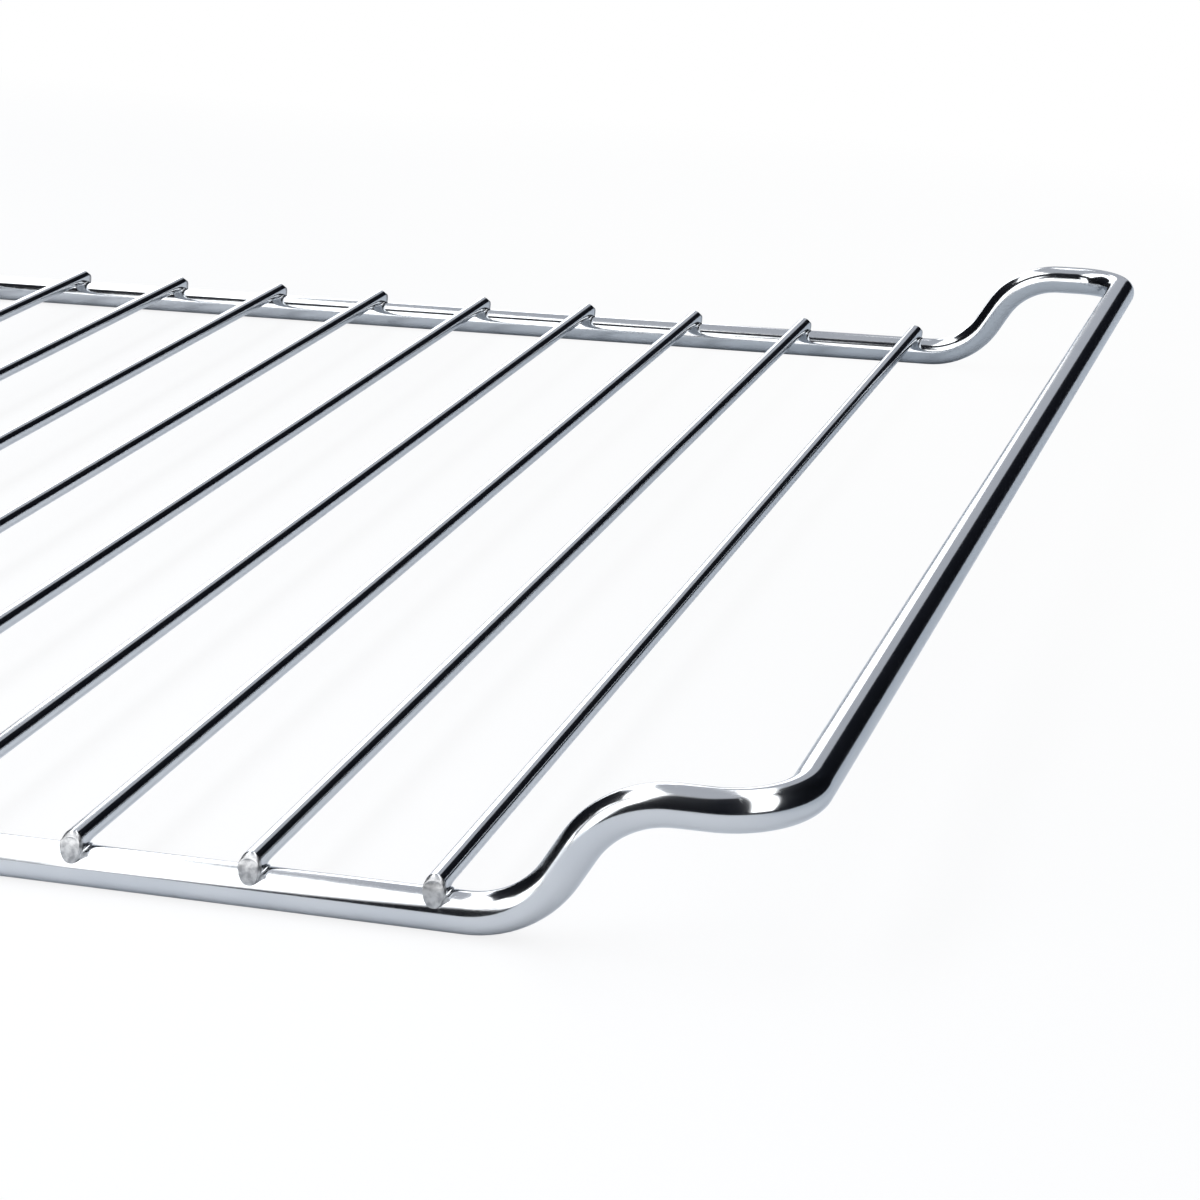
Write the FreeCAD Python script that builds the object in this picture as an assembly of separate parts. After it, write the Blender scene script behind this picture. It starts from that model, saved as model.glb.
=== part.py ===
# Oven shelf rack: one frame wire bent to a closed loop, with straight bars welded across it.
# Millimetres. X runs along the front rail, Y from the front to the rear, and Z up.
# The origin lies under the middle of the rack, on the surface that its two rails rest on.

import FreeCAD, Part
import math
import os

from FreeCAD import Vector

# Frame wire: low front and rear rails, and raised side rails that slide in the oven's guides
frame_wire_diameter = 6.0
rail_spacing = 334.0            # front rail axis to rear rail axis
side_rise = 19.0                # side rail axes above the front and rear rail axes
s_bend_radius = 16.0            # centreline radius of both arcs of an S-bend
s_bend_straight = 4.7           # straight wire between those two arcs
corner_radius = 11.0            # centreline radius of the flat corners
corner_lead = 4.5               # straight wire between an S-bend and its corner

# Bars: thin straight wires from rail to rail, welded on top of both
bar_wire_diameter = 3.1
bar_count = 14
bar_pitch = 26.8
end_bar_to_bend = 3.7           # axis of the first or last bar to the start of the S-bend

# Bar ends: sheared off, and squeezed down over the outer side of the rail by the welding electrode
weld_set_down = 0.4             # how deep a bar sinks into the rail
end_overhang = 2.75             # reach of the end face past the rail's axis
end_length = 3.4                # length of the squeezed stretch
shoulder_half_width = 1.4       # squeezed metal beside the bar's underside
shoulder_drop = 1.25            # below the bar's axis
tip_half_width = 0.6            # lowest metal, in front of the rail
end_drop = 3.0                  # below the bar's axis
ridge_drop = 0.15               # ridge across the end face, below the bar's axis
ridge_setback = 0.15            # the same ridge, back from the foot of the end face
chamfer_length = 1.7            # electrode mark on the top edge, back from the foot of the end face
chamfer_drop = 0.6
chamfer_setback = 0.65

# Places worked out from the sizes above
frame_wire_radius = frame_wire_diameter / 2
bar_wire_radius = bar_wire_diameter / 2
rail_y = rail_spacing / 2
rail_axis_z = frame_wire_radius
rail_top_z = rail_axis_z + frame_wire_radius
bar_axis_z = rail_top_z + bar_wire_radius - weld_set_down
first_bar_x = -bar_pitch * (bar_count - 1) / 2
rail_half_length = end_bar_to_bend - first_bar_x

# Each arc of an S-bend turns by the angle a at which both arcs and the straight between
# them climb by side_rise: 2 R (1 - cos a) + s sin a = side_rise
s_bend_hypotenuse = math.hypot(2 * s_bend_radius, s_bend_straight)
s_bend_phase = math.atan2(s_bend_straight, 2 * s_bend_radius)
s_bend_turn = math.acos((2 * s_bend_radius - side_rise) / s_bend_hypotenuse) - s_bend_phase

UP = Vector(0, 0, 1)


class WireBender:
    """Feeds a straight wire and bends it, one stretch after another."""

    def __init__(self, start, direction, radius):
        self.tip = start
        self.direction = direction
        self.radius = radius
        self.stretches = []

    def feed(self, length):
        """Adds a straight stretch."""
        self.stretches.append(Part.makeCylinder(self.radius, length, self.tip, self.direction))
        self.tip = self.tip + self.direction * length

    def bend(self, bend_radius, axis, angle):
        """Adds an arc that turns the wire by an angle in radians about the given axis."""
        centre = self.tip + axis.cross(self.direction) * bend_radius
        section = Part.Face(Part.Wire(Part.makeCircle(self.radius, self.tip, self.direction)))
        self.stretches.append(section.revolve(centre, axis, math.degrees(angle)))
        turn = FreeCAD.Rotation(axis, math.degrees(angle))
        self.tip = centre + turn.multVec(self.tip - centre)
        self.direction = turn.multVec(self.direction)

    def joined(self):
        """The bent wire as one solid."""
        return self.stretches[0].multiFuse(self.stretches[1:]).Solids[0]


def add_s_bend(wire, climbs):
    """Lifts the wire from the rails to the height of the side rails, or lowers it again."""
    side_axis = wire.direction.cross(UP)
    first_axis = side_axis if climbs else side_axis * -1
    wire.bend(s_bend_radius, first_axis, s_bend_turn)
    wire.feed(s_bend_straight)
    wire.bend(s_bend_radius, first_axis * -1, s_bend_turn)


def make_frame_wire():
    """Closed frame, bent from its butt weld in the middle of the rear rail all the way round."""
    wire = WireBender(Vector(0, rail_y, rail_axis_z), Vector(-1, 0, 0), frame_wire_radius)
    wire.feed(rail_half_length)
    for next_rail_length in (2 * rail_half_length, rail_half_length):
        add_s_bend(wire, True)
        wire.feed(corner_lead)
        wire.bend(corner_radius, UP, math.pi / 2)
        wire.feed(rail_spacing - 2 * corner_radius)
        wire.bend(corner_radius, UP, math.pi / 2)
        wire.feed(corner_lead)
        add_s_bend(wire, False)
        wire.feed(next_rail_length)
    return wire.joined()


def make_squeezed_metal():
    """Metal drawn down from a bar over the front rail: shoulders, and a narrow tip below."""
    foot_y = -rail_y - end_overhang
    shoulder_z = bar_axis_z - shoulder_drop
    tip_z = bar_axis_z - end_drop
    outline = [
        Vector(-shoulder_half_width, foot_y, bar_axis_z),
        Vector(-shoulder_half_width, foot_y, shoulder_z),
        Vector(-tip_half_width, foot_y, tip_z),
        Vector(tip_half_width, foot_y, tip_z),
        Vector(shoulder_half_width, foot_y, shoulder_z),
        Vector(shoulder_half_width, foot_y, bar_axis_z),
    ]
    section = Part.Face(Part.makePolygon(outline + outline[:1]))
    return section.extrude(Vector(0, end_length, 0))


def make_end_facets():
    """What the shears and the electrode take off at the front end of a bar, seen from the side."""
    foot_y = -rail_y - end_overhang
    crown_z = bar_axis_z + bar_wire_radius
    tip_z = bar_axis_z - end_drop
    beside_x = -bar_wire_diameter
    outside_y = foot_y - bar_wire_diameter
    chamfer_slope = chamfer_drop / (chamfer_length - chamfer_setback)
    inner_y = foot_y + end_length
    high_z = crown_z + chamfer_slope * (end_length - chamfer_length)
    outline = [
        Vector(beside_x, inner_y, high_z),
        Vector(beside_x, foot_y + chamfer_setback, crown_z - chamfer_drop),
        Vector(beside_x, foot_y + ridge_setback, bar_axis_z - ridge_drop),
        Vector(beside_x, foot_y, tip_z),
        Vector(beside_x, outside_y, tip_z),
        Vector(beside_x, outside_y, high_z),
    ]
    side_view = Part.Face(Part.makePolygon(outline + outline[:1]))
    return side_view.extrude(Vector(-2 * beside_x, 0, 0))


def make_bar():
    """Bar at x = 0: the wire, its squeezed and sheared ends, and their saddles on the rails."""
    middle = Vector(0, 0, 0)
    across = Vector(0, 1, 0)
    half_length = rail_y + end_overhang
    wire_start = Vector(0, -half_length, bar_axis_z)
    wire = Part.makeCylinder(bar_wire_radius, 2 * half_length, wire_start, across)
    rail_start = Vector(-bar_pitch / 2, -rail_y, rail_axis_z)
    along_rail = Vector(1, 0, 0)
    rail = Part.makeCylinder(frame_wire_radius, bar_pitch, rail_start, along_rail)
    rail.rotate(rail_start, along_rail, 180)  # its seam is kept clear of the saddle
    metal = make_squeezed_metal()
    facets = make_end_facets()
    bar = wire.multiFuse([metal, metal.mirror(middle, across)])
    bar = bar.cut(facets).cut(facets.mirror(middle, across))
    bar = bar.cut(rail).cut(rail.mirror(middle, across))
    return bar.Solids[0]


def write_node(shape, name):
    shape.exportStep("parts/" + name + ".step")


os.makedirs("parts", exist_ok=True)
write_node(make_frame_wire(), "frame_wire")
bar = make_bar()
for index in range(bar_count):
    placed_bar = bar.copy()
    placed_bar.translate(Vector(first_bar_x + index * bar_pitch, 0, 0))
    write_node(placed_bar, "bar_%02d" % (index + 1))
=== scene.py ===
# Oven shelf rack: polished chromed wire on a pale studio floor, in metres.
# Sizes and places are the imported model's. Each wire is modelled again with a finer surface.

import bmesh
import bpy
import math

from mathutils import Matrix, Vector


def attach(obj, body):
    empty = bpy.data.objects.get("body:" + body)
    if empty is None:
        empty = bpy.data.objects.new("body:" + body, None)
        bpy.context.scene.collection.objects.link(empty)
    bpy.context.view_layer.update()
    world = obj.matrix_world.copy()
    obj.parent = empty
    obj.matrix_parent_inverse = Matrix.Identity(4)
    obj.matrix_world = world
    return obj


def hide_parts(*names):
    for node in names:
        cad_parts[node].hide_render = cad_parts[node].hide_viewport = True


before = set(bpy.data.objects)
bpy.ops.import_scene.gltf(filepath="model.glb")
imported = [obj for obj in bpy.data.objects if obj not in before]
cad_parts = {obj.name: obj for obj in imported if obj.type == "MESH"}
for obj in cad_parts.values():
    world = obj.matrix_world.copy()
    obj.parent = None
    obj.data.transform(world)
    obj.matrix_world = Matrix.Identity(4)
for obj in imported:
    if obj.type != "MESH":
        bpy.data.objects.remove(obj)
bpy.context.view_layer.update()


# Frame wire
# One length of 6 mm drawn steel wire, bent to a closed loop with an S-bend at each end of
# both rails, butt-welded in the middle of the rear rail, ground flush and chrome plated.

frame_wire_radius = 0.002999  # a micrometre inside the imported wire
rail_y = 0.167
rail_axis_z = 0.003
rail_half_length = 0.1779
side_rise = 0.019
s_bend_radius = 0.016
s_bend_straight = 0.0047
corner_radius = 0.011
corner_lead = 0.0045
frame_wire_sides = 48
s_bend_steps = 14
corner_steps = 20
straight_steps = 6

# Each arc of an S-bend turns until both arcs and the straight between them climb by side_rise
s_bend_reach = math.hypot(2 * s_bend_radius, s_bend_straight)
s_bend_phase = math.atan2(s_bend_straight, 2 * s_bend_radius)
s_bend_turn = math.acos((2 * s_bend_radius - side_rise) / s_bend_reach) - s_bend_phase

UP = Vector((0, 0, 1))


class Wire:
    """A wire in the making: the ring at its tip is fed forward and bent, as in a bending machine."""

    def __init__(self, name, start, direction, radius, sides):
        bpy.ops.object.select_all(action="DESELECT")
        bpy.ops.mesh.primitive_circle_add(
            vertices=sides,
            radius=radius,
            location=start,
            rotation=direction.to_track_quat("Z", "Y").to_euler(),
        )
        bpy.ops.object.transform_apply(location=True, rotation=True, scale=True)
        self.piece = bpy.context.object
        self.piece.name = name
        self.tip = start.copy()
        self.direction = direction.copy()
        bpy.ops.object.mode_set(mode="EDIT")
        bpy.ops.mesh.select_all(action="SELECT")

    def feed(self, length, steps=1):
        """Pushes a straight stretch out."""
        step = self.direction * (length / steps)
        for _ in range(steps):
            bpy.ops.mesh.extrude_region_move(TRANSFORM_OT_translate={"value": step})
        self.tip = self.tip + self.direction * length

    def bend(self, bend_radius, axis, angle, steps):
        """Turns the wire by an angle in radians about the given axis."""
        centre = self.tip + axis.cross(self.direction) * bend_radius
        bpy.ops.mesh.spin(steps=steps, dupli=False, angle=-angle, center=centre, axis=axis)
        turn = Matrix.Rotation(angle, 3, axis)
        self.tip = centre + turn @ (self.tip - centre)
        self.direction = turn @ self.direction

    def close(self):
        """Joins the tip to the start, and turns all faces outwards."""
        bpy.ops.mesh.select_all(action="SELECT")
        bpy.ops.mesh.remove_doubles(threshold=0.00002)
        bpy.ops.mesh.normals_make_consistent(inside=False)
        bpy.ops.object.mode_set(mode="OBJECT")
        bpy.ops.object.shade_smooth()
        return self.piece


def add_s_bend(wire, climbs):
    """Lifts the wire from the rails to the height of the side rails, or lowers it again."""
    side_axis = wire.direction.cross(UP)
    first_axis = side_axis if climbs else -side_axis
    wire.bend(s_bend_radius, first_axis, s_bend_turn, s_bend_steps)
    wire.feed(s_bend_straight)
    wire.bend(s_bend_radius, -first_axis, s_bend_turn, s_bend_steps)


wire = Wire(
    "frame_chromed",
    Vector((0, rail_y, rail_axis_z)),
    Vector((-1, 0, 0)),
    frame_wire_radius,
    frame_wire_sides,
)
wire.feed(rail_half_length, straight_steps)
for next_rail_length in (2 * rail_half_length, rail_half_length):
    add_s_bend(wire, climbs=True)
    wire.feed(corner_lead)
    wire.bend(corner_radius, UP, math.pi / 2, corner_steps)
    wire.feed(2 * (rail_y - corner_radius), straight_steps)
    wire.bend(corner_radius, UP, math.pi / 2, corner_steps)
    wire.feed(corner_lead)
    add_s_bend(wire, climbs=False)
    wire.feed(next_rail_length, straight_steps)
frame_piece = wire.close()


class Shade:
    """A socket in a material, with the operators that add Math nodes to it."""

    def __init__(self, tree, socket):
        self.tree = tree
        self.socket = socket

    def node(self, node_type, settings=(), inputs=(), output=0):
        """Any node: its type, its settings, and the values or links of its sockets."""
        made = self.tree.nodes.new(node_type)
        for name, value in dict(settings).items():
            setattr(made, name, value)
        for key, value in dict(inputs).items():
            if isinstance(value, Shade):
                self.tree.links.new(value.socket, made.inputs[key])
            else:
                made.inputs[key].default_value = value
        return Shade(self.tree, made.outputs[output])

    def math(self, operation, *values):
        return self.node("ShaderNodeMath", {"operation": operation}, dict(enumerate(values)))

    def __add__(self, other):
        return self.math("ADD", self, other)

    __radd__ = __add__

    def __sub__(self, other):
        return self.math("SUBTRACT", self, other)

    def __rsub__(self, other):
        return self.math("SUBTRACT", other, self)

    def __mul__(self, other):
        return self.math("MULTIPLY", self, other)

    __rmul__ = __mul__

    def mix(self, low, high):
        """A colour between low and high, with this value as its share of high."""
        return self.node(
            "ShaderNodeMix",
            {"data_type": "RGBA"},
            {"Factor": self, "A": low, "B": high},
            output=2,
        )

    def noise(self, scale, detail=3.0, roughness=0.5, stretch=(1, 1, 1)):
        """Noise on this vector, from about 0.3 to 0.7."""
        place = self.node("ShaderNodeMapping", {}, {"Vector": self, "Scale": stretch})
        return self.node(
            "ShaderNodeTexNoise",
            {},
            {"Vector": place, "Scale": scale, "Detail": detail, "Roughness": roughness},
        )

    def ramp(self, low, high):
        """0 below low, 1 above high, and smooth between them."""
        return self.node(
            "ShaderNodeMapRange",
            {"interpolation_type": "SMOOTHSTEP"},
            {"Value": self, "From Min": low, "From Max": high},
        )


def new_material(name, coordinates="Object"):
    """An empty material: its tree, its principled shader and the Object or UV coordinates."""
    made = bpy.data.materials.new(name)
    made.use_nodes = True
    tree = made.node_tree
    shader = tree.nodes["Principled BSDF"]
    place = Shade(tree, None).node("ShaderNodeTexCoord", output=coordinates)
    return made, tree, shader, place


def chrome(name, stretch, sheared_at=None):
    """Bright chrome over drawn wire: faint draw lines, a soft waviness, and a few dull specks.

    The sheared faces at a distance of sheared_at either side of the middle are dented and satin.
    """
    made, tree, shader, place = new_material(name)
    shader.inputs["Metallic"].default_value = 1.0
    shader.inputs["Specular Tint"].default_value = (0.86, 0.87, 0.89, 1)
    cloud = place.noise(60, 2)
    tint = cloud.ramp(0.35, 0.65).mix((0.53, 0.55, 0.575, 1), (0.56, 0.577, 0.597, 1))
    lines = place.noise(1800, 2, 0.6, stretch)
    specks = place.noise(900, 4, 0.7).ramp(0.62, 0.74)
    waves = place.noise(380, 2, 0.4)
    roughness = 0.08 + cloud * 0.05 + lines * 0.04 + specks * 0.12
    height = waves * 1.0 + lines * 0.12 - specks * 0.35
    if sheared_at:
        along = place.node("ShaderNodeSeparateXYZ", {}, {0: place}, output="Y")
        face = along.math("ABSOLUTE", along).ramp(sheared_at - 0.0016, sheared_at - 0.0005)
        dents = place.noise(1100, 3, 0.55)
        satin = dents.ramp(0.3, 0.7).mix((0.25, 0.255, 0.263, 1), (0.46, 0.465, 0.472, 1))
        tint = face.mix(tint, satin)
        roughness = roughness + face * (0.22 + dents * 0.2)
        height = height + face * dents * 6
    bump = place.node(
        "ShaderNodeBump", {}, {"Strength": 1.0, "Distance": 0.00001, "Height": height}
    )
    for value, socket in ((tint, "Base Color"), (roughness, "Roughness"), (bump, "Normal")):
        tree.links.new(value.socket, shader.inputs[socket])
    return made


frame_chrome = chrome("frame_wire_chrome", (1, 1, 1))
frame_piece.data.materials.append(frame_chrome)
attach(frame_piece, "root")
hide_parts("frame_wire")


# Bars
# Fourteen straight 3.1 mm drawn steel wires, laid across both rails and resistance-welded
# to them. The electrode squeezes each sheared end down over the outer side of the rail.

bar_wire_radius = 0.00155
bar_pitch = 0.0268
bar_axis_z = 0.00715  # the welds set the bars 0.4 mm down into the rails
bar_names = ["bar_%02d" % (index + 1) for index in range(14)]
first_bar_x = -bar_pitch * (len(bar_names) - 1) / 2
sheared_y = -0.16962  # sheared end face
sheared_foot_y = -0.16975  # its lower edge stands out farthest
ridge_z = bar_axis_z - 0.00015  # across the face, where the electrode's chamfer begins
cage_sides = 16
cage_swell = 3 / (2 + math.cos(2 * math.pi / cage_sides))  # subdivision draws the cage in again
same_ring = 0.00001  # points of a ring are nearer together than this along the bar

# Heights that part the points of a ring: its underside, its flanks and its halves
underside_z = bar_axis_z - 0.0013
foot_z = bar_axis_z - 0.0010
flank_z = bar_axis_z - 0.0008
lower_half_z = bar_axis_z - 0.0002
upper_half_z = bar_axis_z + 0.0003


def select_where(kind, test):
    """In edit mode, selects the vertices, edges or faces that pass the test, and no others."""
    bpy.ops.mesh.select_mode(type=kind)
    bpy.ops.mesh.select_all(action="DESELECT")
    shape = bmesh.from_edit_mesh(bpy.context.object.data)
    for item in {"VERT": shape.verts, "EDGE": shape.edges, "FACE": shape.faces}[kind]:
        item.select_set(test(item))
    bmesh.update_edit_mesh(bpy.context.object.data)


def draw_out(y):
    """In edit mode, draws the bar's open end out to y. Its new ring stays selected."""
    tip_y = min(v.co.y for v in bmesh.from_edit_mesh(bpy.context.object.data).verts)
    select_where("EDGE", lambda edge: all(v.co.y < tip_y + same_ring for v in edge.verts))
    bpy.ops.mesh.extrude_region_move(TRANSFORM_OT_translate={"value": (0, y - tip_y, 0)})


def squeeze(y, test, scale):
    """In edit mode, scales the points of the ring at y that pass the test about the bar's axis."""
    select_where("VERT", lambda v: abs(v.co.y - y) < same_ring and test(v.co))
    bpy.ops.transform.resize(value=scale, center_override=(0, 0, bar_axis_z))


# One half of the bar, from its middle to the front rail
bpy.ops.object.select_all(action="DESELECT")
bpy.ops.mesh.primitive_circle_add(
    vertices=cage_sides,
    radius=bar_wire_radius * cage_swell,
    location=(0, 0, bar_axis_z),
    rotation=(math.pi / 2, 0, 0),
)
bpy.ops.object.transform_apply(location=True, rotation=True, scale=True)
bar = bpy.context.object
bpy.ops.object.mode_set(mode="EDIT")
for y in (-0.05, -0.10, -0.15, -0.1638, -0.1648):
    draw_out(y)

# The squeezed end: how far each ring's lower half is drawn down, and its underside spread
for y, drop, spread in (
    (-0.1656, 1.12, 1.12),
    (-0.1664, 1.38, 1.16),
    (-0.1673, 1.19, 1.0),
    (-0.1681, 1.05, 1.0),
    (-0.1684, 1.0, 1.0),
    (sheared_y, 1.0, 1.0),
):
    draw_out(y)
    squeeze(y, lambda co: co.z < underside_z, (spread, 1, 1))
    squeeze(y, lambda co: underside_z < co.z < flank_z, (0.6 + 0.4 * spread, 1, 1))
    squeeze(y, lambda co: co.z < lower_half_z, (1, 1, drop))

# The electrode's chamfer on the upper half of the face, and the foot of the lower half
squeeze(sheared_y, lambda co: co.z > upper_half_z, (0.94, 1, 0.64))
select_where("VERT", lambda v: v.co.y < sheared_y + same_ring and v.co.z > upper_half_z)
bpy.ops.transform.rotate(
    value=math.radians(24), orient_axis="X", center_override=(0, sheared_y, ridge_z)
)
select_where("VERT", lambda v: v.co.y < sheared_y + same_ring and v.co.z < foot_z)
bpy.ops.transform.translate(value=(0, sheared_foot_y - sheared_y, 0))

# The face is closed inside a rim that subdivision leaves fairly sharp
face_rim = [v.index for v in bmesh.from_edit_mesh(bar.data).verts][-cage_sides:]
select_where("EDGE", lambda edge: all(v.index in face_rim for v in edge.verts))
bpy.ops.transform.edge_crease(value=0.45)
bpy.ops.mesh.extrude_region_move(TRANSFORM_OT_translate={"value": (0, 0, 0)})
bpy.ops.transform.resize(
    value=(0.80, 1, 0.86), center_override=(0, sheared_y, ridge_z - 0.0003)
)
bpy.ops.mesh.fill_grid(span=4, offset=2)

# The metal pressed out of the weld stands round it as a low, uneven bead on the rail
bead_middle = Vector((0, -0.16715, 0))
bead_radius = 0.0016
bead_thickness = 0.00092
bead_length_scale = 1.28  # longer along the bar than along the rail
bead_height_scale = 0.62
bead_reach = 0.0026  # the bead follows the rail's side down no farther than this
bead_steps = 20
bead_step_turn = 2 * math.pi / bead_steps
bpy.ops.mesh.primitive_torus_add(
    major_segments=bead_steps,
    minor_segments=6,
    major_radius=bead_radius,
    minor_radius=bead_thickness / 2,
    location=bead_middle,
)
bpy.ops.transform.resize(
    value=(1.0, bead_length_scale, bead_height_scale), center_override=bead_middle
)
bead = {v.index for v in bmesh.from_edit_mesh(bar.data).verts if v.select}


def way_from_weld(co):
    """The way from the weld's middle to a point of the bead, before the bead was lengthened."""
    return Vector((co.x, (co.y - bead_middle.y) / bead_length_scale, 0)).normalized()


for step in range(bead_steps):
    around = bead_step_turn * step
    outwards = Vector((math.cos(around), math.sin(around), 0))
    ring_y = bead_middle.y + bead_radius * bead_length_scale * outwards.y
    from_crown = min(abs(ring_y + rail_y), bead_reach)
    surface_z = rail_axis_z + math.sqrt(frame_wire_radius**2 - from_crown**2)
    swell = 0.00016 * math.sin(3 * around + 0.7) + 0.00011 * math.sin(7 * around + 2.1)
    select_where(
        "VERT",
        lambda v: v.index in bead
        and way_from_weld(v.co).dot(outwards) > math.cos(bead_step_turn / 3),
    )
    bpy.ops.transform.translate(value=(swell * outwards.x, swell * outwards.y, surface_z))
bpy.ops.object.mode_set(mode="OBJECT")

other_end = bar.modifiers.new("Other end", "MIRROR")
other_end.use_axis = (False, True, False)
other_end.merge_threshold = 0.00001
smoothing = bar.modifiers.new("Smoothing", "SUBSURF")
smoothing.levels = 2
smoothing.render_levels = 2
for name in (other_end.name, smoothing.name):
    bpy.ops.object.modifier_apply(modifier=name)
bpy.ops.object.mode_set(mode="EDIT")
bpy.ops.mesh.select_all(action="SELECT")
bpy.ops.mesh.remove_doubles(threshold=0.000002)
bpy.ops.mesh.normals_make_consistent(inside=False)
bpy.ops.object.mode_set(mode="OBJECT")
bpy.ops.object.shade_smooth()

bar.data.materials.append(chrome("bar_wire_chrome", (1, 0.05, 1), sheared_at=0.16955))

for index, name in enumerate(bar_names):
    bpy.ops.object.select_all(action="DESELECT")
    bar.select_set(True)
    bpy.context.view_layer.objects.active = bar
    bpy.ops.object.duplicate(linked=False)
    placed = bpy.context.object
    placed.name = name + "_chromed"
    bpy.ops.transform.translate(value=(first_bar_x + index * bar_pitch, 0, 0))
    bpy.ops.object.transform_apply(location=True, rotation=True, scale=True)
    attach(placed, "root")
    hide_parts(name)
bpy.data.objects.remove(bar)


# Floor
# The table top of the studio: matt white. The camera sees it as white paper on which the
# rack's soft shadow stays, and farther from the rack it runs out into the background.
# The chrome mirrors the lit table top itself, whose colour is painted darker towards the rear right
# as painted shade.

floor_radius = 1.1
bpy.ops.object.select_all(action="DESELECT")
bpy.ops.mesh.primitive_circle_add(
    vertices=96, radius=floor_radius, fill_type="NGON", location=(0, 0, -0.00005)
)
floor = bpy.context.object
floor.name = "studio_floor"
bpy.ops.object.transform_apply(location=True, rotation=True, scale=True)

floor_white, floor_tree, floor_shader, floor_place = new_material("studio_floor_white")
floor_shader.inputs["Roughness"].default_value = 0.9
floor_shader.inputs["Specular IOR Level"].default_value = 0.0
from_middle = floor_place.node(
    "ShaderNodeVectorMath", {"operation": "LENGTH"}, {0: floor_place}, output="Value"
)
to_rear_right = floor_place.node(
    "ShaderNodeVectorMath",
    {"operation": "DOT_PRODUCT"},
    {0: floor_place, 1: (0.8, 0.6, 0)},
    output="Value",
)
# Painted shade: the table top's colour darkens towards the rear right, away from the lamps, so the
# chrome mirrors a dimmer floor there
painted_floor_shade = to_rear_right.ramp(0.03, 0.24)
floor_tint_with_painted_shade = painted_floor_shade.mix((0.81, 0.84, 0.885, 1), (0.58, 0.63, 0.69, 1))
floor_tree.links.new(floor_tint_with_painted_shade.socket, floor_shader.inputs["Base Color"])

camera_ray = floor_place.node("ShaderNodeLightPath", output="Is Camera Ray")
# The camera sees more paper where the floor's shade is painted, and far from the rack
paper_share = 0.84 + painted_floor_shade * 0.11 + from_middle.ramp(0.35, 0.85) * 0.28
lit = Shade(floor_tree, floor_shader.outputs[0])
paper = floor_place.node("ShaderNodeEmission", {}, {"Color": (1, 1, 1, 1), "Strength": 1.0})
seen = floor_place.node("ShaderNodeMixShader", {}, {0: camera_ray * paper_share, 1: lit, 2: paper})
floor_tree.links.new(seen.socket, floor_tree.nodes["Material Output"].inputs["Surface"])
floor.data.materials.append(floor_white)


# Studio walls
# Dark cloth round and over the table. The camera looks through it to the white background,
# and the chrome mirrors it between the lamps.

bpy.ops.object.select_all(action="DESELECT")
bpy.ops.mesh.primitive_uv_sphere_add(segments=48, ring_count=24, radius=5.0)
walls = bpy.context.object
walls.name = "studio_walls"
bpy.ops.object.shade_smooth()
walls_dark, _, walls_shader, _ = new_material("studio_walls_dark")
walls_shader.inputs["Base Color"].default_value = (0.055, 0.06, 0.08, 1)
walls_shader.inputs["Roughness"].default_value = 1.0
walls_shader.inputs["Specular IOR Level"].default_value = 0.0
walls.data.materials.append(walls_dark)
walls.visible_camera = False

world = bpy.data.worlds.new("white_background")
bpy.context.scene.world = world
world.use_nodes = True
background = world.node_tree.nodes["Background"]
background.inputs["Color"].default_value = (1, 1, 1, 1)
background.inputs["Strength"].default_value = 1.0


# Lamps
# Soft boxes and lit cards round the table: a long one over the left side, one low at the
# front left, one leaning in from the front right, dimmer cards over and behind the rack, and
# two glowing white cards close in front of the front rail. These two only paint reflections
# with a dark rim into the chrome, and light nothing.

lamp_aim = Vector((0.19, -0.15, 0.015))
lamp_strength = 3.6
near_card_strength = 3.0
pale_blue = (0.90, 0.93, 1, 1)


def toward(distance, *ways):
    """Points at a distance from the near corner, each way as (azimuth from +Y to +X, elevation)."""
    points = []
    for azimuth, elevation in ways:
        a, e = math.radians(azimuth), math.radians(elevation)
        out = Vector((math.sin(a) * math.cos(e), math.cos(a) * math.cos(e), math.sin(e)))
        points.append(lamp_aim + out * distance)
    return points


def lit_card(name, corners, brightness, colour=(1, 1, 1, 1), soft=0.05, rim=(0, 0, 0, 1)):
    """A glowing cloth between four corners. The camera doesn't see it.

    Its colour fades to rim over a border that takes up the share soft of its width and height.
    """
    bpy.ops.object.select_all(action="DESELECT")
    bpy.ops.mesh.primitive_plane_add(size=1)
    card = bpy.context.object
    card.name = name
    for point, corner in zip((0, 1, 3, 2), corners):
        card.data.vertices[point].co = corner
    made, tree, _, place = new_material(name, "UV")
    across = place.node("ShaderNodeSeparateXYZ", {}, {0: place}, output="X")
    along = place.node("ShaderNodeSeparateXYZ", {}, {0: place}, output="Y")
    inside = across.ramp(0, soft) * (1 - across).ramp(0, soft)
    inside = inside * along.ramp(0, soft) * (1 - along).ramp(0, soft)
    glow = inside.node(
        "ShaderNodeEmission", {}, {"Color": inside.mix(rim, colour), "Strength": brightness}
    )
    tree.links.new(glow.socket, tree.nodes["Material Output"].inputs["Surface"])
    card.data.materials.append(made)
    card.visible_camera = False
    return card


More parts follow.
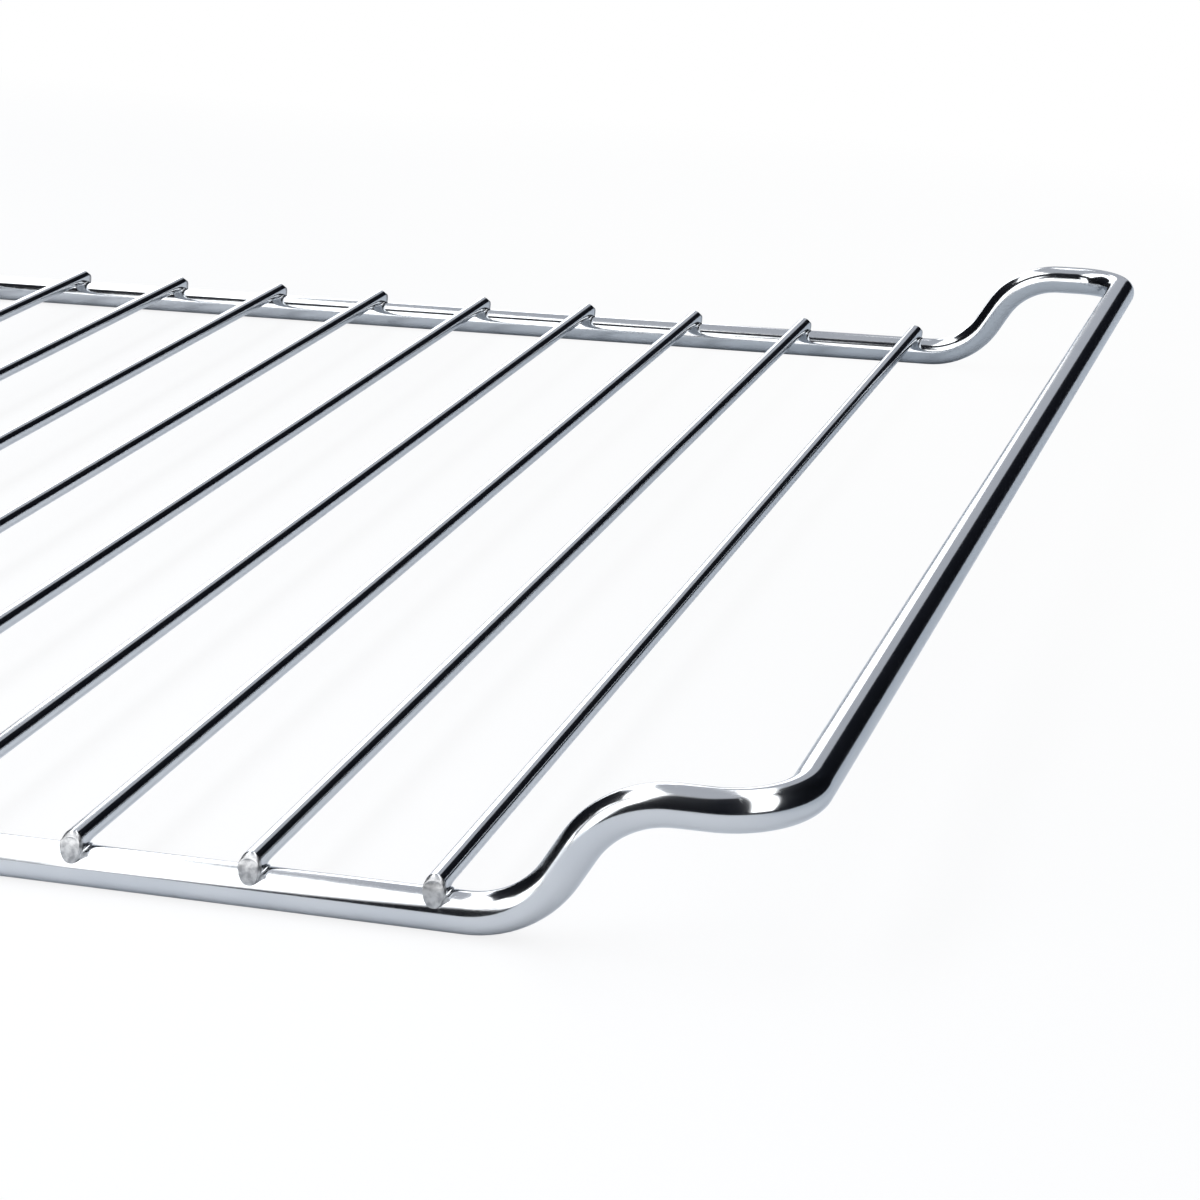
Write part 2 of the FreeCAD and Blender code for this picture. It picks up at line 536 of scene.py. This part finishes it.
for name, distance, ways in (
    ("lamp_left", 2.4, ((-110, 43), (-49, 41), (-36.4, 46.5), (-141, 67))),
    ("lamp_left_end", 2.4, ((-49, 41), (-34, 16), (-24.5, 27.3), (-36.4, 46.5))),
    ("lamp_behind_left", 2.4, ((-35, 18), (-31, 8.4), (-13.6, 20), (-18, 29))),
    ("lamp_front_right", 2.2, ((146, 8), (121, 8), (55, 65.6), (0, 76))),
    ("lamp_over", 2.3, ((-14.5, 34.2), (-8.7, 37.4), (55, 65.6), (0, 76))),
):
    lit_card(name, toward(distance, *ways), lamp_strength)
lit_card(
    "lamp_front_left",
    toward(0.6, (-108, 46), (-114, -1), (-147, -1), (-138, 63)),
    lamp_strength,
    soft=0.12,
    rim=(0.30, 0.31, 0.32, 1),
)
lit_card("card_behind", toward(2.5, (-37, -0.3), (-13, -0.3), (-12, 20), (-34, 12)), 3.0)
lit_card("card_over", toward(4.7, (-24, -0.3), (3, -0.3), (146, 83), (-137, 55)), 0.70, pale_blue)

# Painted reflections: two glowing cards that only the chrome shows, giving the front rail a white
# band with a dark rim
painted_reflection_card = lit_card(
    "painted_reflection_card",
    (
        (0.062, -0.296, -0.006),
        (0.125, -0.2875, 0.115),
        (0.165, -0.20, 0.20),
        (-0.09, -0.22, 0.20),
    ),
    near_card_strength,
    soft=0.12,
    rim=(0.09, 0.09, 0.09, 1),
)
painted_reflection_card_low = lit_card(
    "painted_reflection_card_low",
    (
        (0.1857, -0.1736, 0.019),
        (0.0644, -0.2755, -0.001),
        (0.0644, -0.2755, 0.16),
        (0.1857, -0.1736, 0.12),
    ),
    near_card_strength,
    soft=0.08,
    rim=(0.12, 0.12, 0.125, 1),
)
# These two cards light nothing and cast no shadow: they only paint reflections into the chrome
for card in (painted_reflection_card, painted_reflection_card_low):
    card.visible_diffuse = False
    card.visible_shadow = False


# Camera
# A long lens at the front right corner, looking down at the rack and to its left. The rack
# runs out of its view at the left.

bpy.ops.object.camera_add(
    location=(0.30342, -0.52406, 0.17271),
    rotation=(math.radians(90 - 18.327), 0, math.radians(16.613)),
)
camera = bpy.context.object
camera.data.sensor_width = 36.0
camera.data.lens = 91.45
camera.data.clip_start = 0.01
camera.data.clip_end = 50.0
bpy.context.scene.camera = camera
bpy.context.scene.view_settings.view_transform = "Standard"
